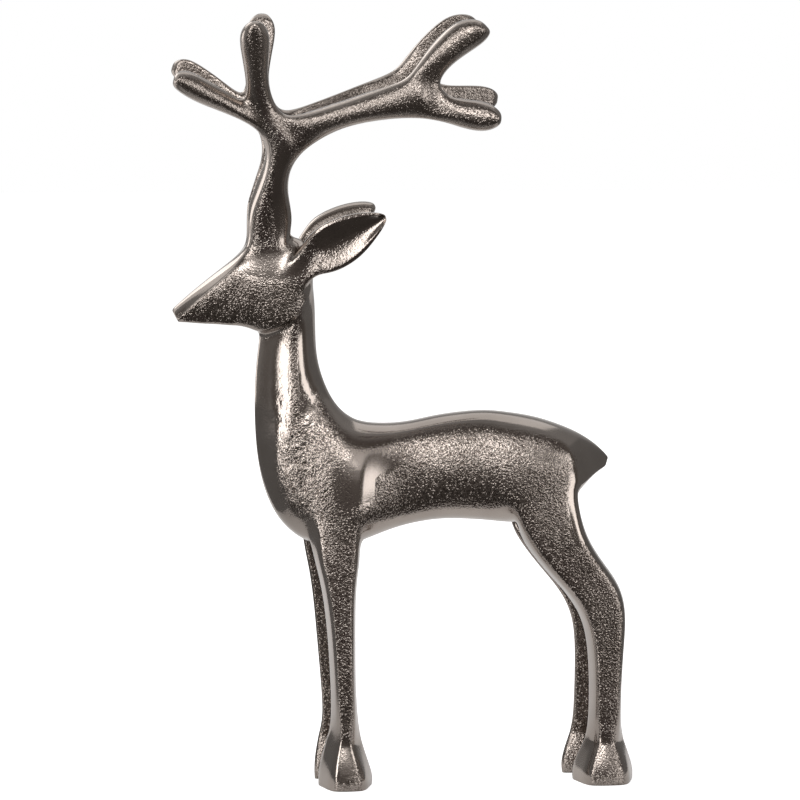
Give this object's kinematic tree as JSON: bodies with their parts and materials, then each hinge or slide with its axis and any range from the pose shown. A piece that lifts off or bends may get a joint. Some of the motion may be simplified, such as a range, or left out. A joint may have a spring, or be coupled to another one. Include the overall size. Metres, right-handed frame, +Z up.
{
  "type": "reindeer figurine",
  "caption": "Stylised standing stag with tall branched antlers, leaf-shaped ears and flared hooves, cast in one piece with a dark nickel finish.",
  "frame": {"origin": "on the ground, at the centre of the casting's bounding box seen from above", "axes": "+Z up, the nose points along -X, the animal's left side faces -Y"},
  "size_m": [0.1542, 0.054, 0.2566],
  "materials": {
    "casting": "dark nickel plate, polished edge bands and sand-cast grainy sides"
  },
  "bodies": {
    "root": {"reindeer": "casting"}
  },
  "joints": []
}
